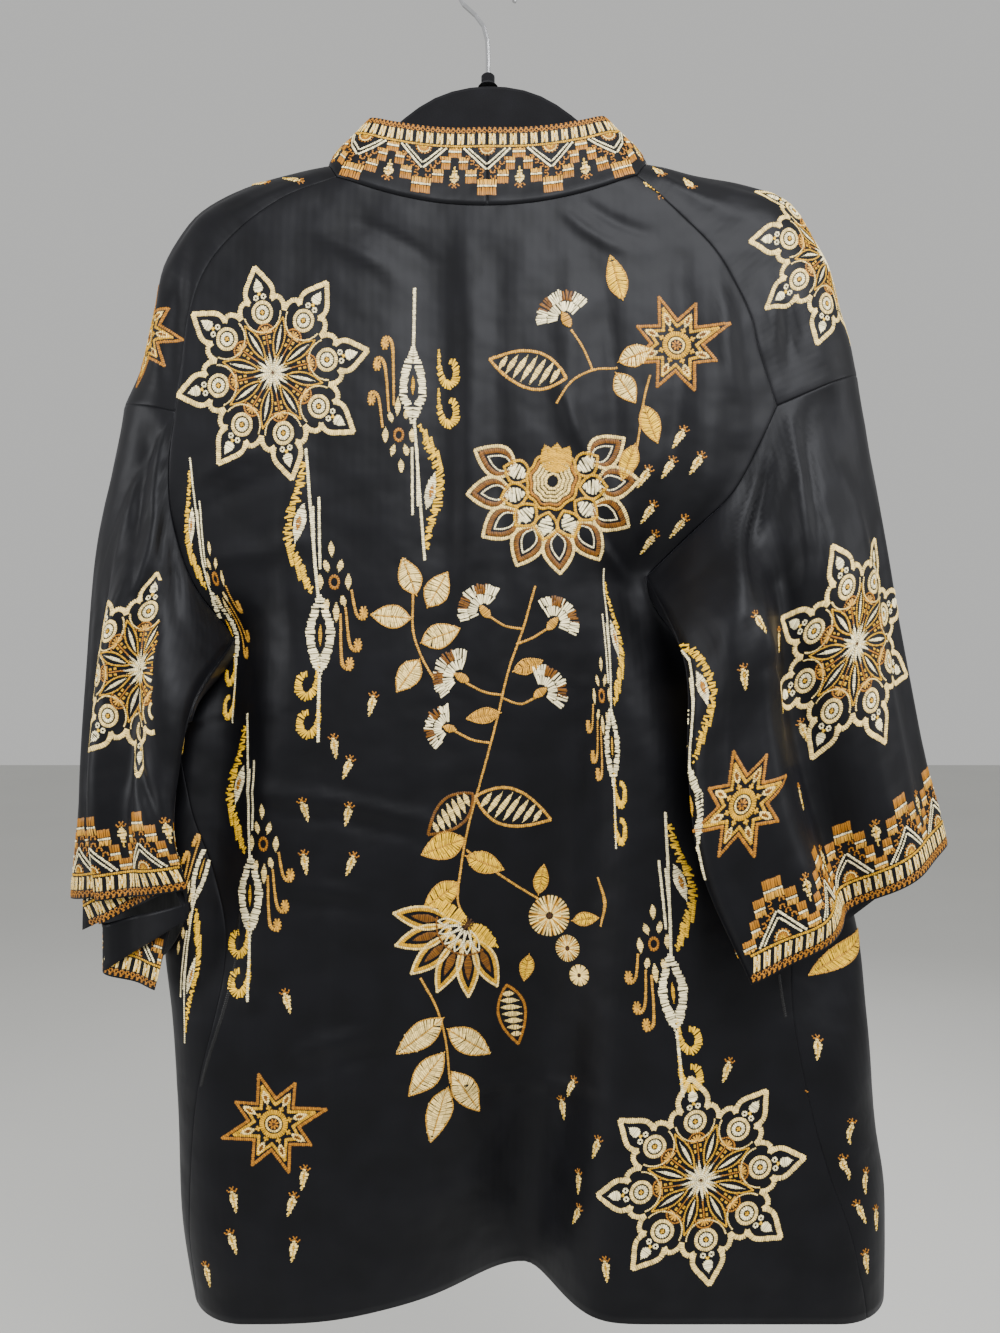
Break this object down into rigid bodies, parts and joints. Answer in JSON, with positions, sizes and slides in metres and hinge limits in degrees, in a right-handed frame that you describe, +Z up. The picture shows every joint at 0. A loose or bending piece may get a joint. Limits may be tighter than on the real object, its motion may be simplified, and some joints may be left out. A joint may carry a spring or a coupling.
{
  "type": "kimono jacket on a shoulder hanger",
  "caption": "Thigh-length satin kimono jacket with wide sleeves and an embroidered neckband, hanging open on a flocked shoulder hanger with a wire hook.",
  "frame": {"origin": "inside top of the hanger's hook, where a rod or a wall hook holds it", "axes": "+Z up, +X to the wearer's right, +Y to the wearer's front: the back of the jacket faces -Y"},
  "size_m": [0.6043, 0.1445, 0.928],
  "materials": {
    "satin": "satin",
    "embroidered_band": "satin stitch",
    "flock": "matt",
    "steel": "bright"
  },
  "bodies": {
    "root": {"back": "satin", "front_left": "satin", "front_right": "satin", "shoulder_left": "satin", "shoulder_right": "satin", "sleeve_left": "satin", "sleeve_right": "satin", "neckband_left": "embroidered_band", "neckband_right": "embroidered_band", "hanger_body": "flock", "hanger_stud": "flock", "hanger_hook": "steel"}
  },
  "joints": []
}
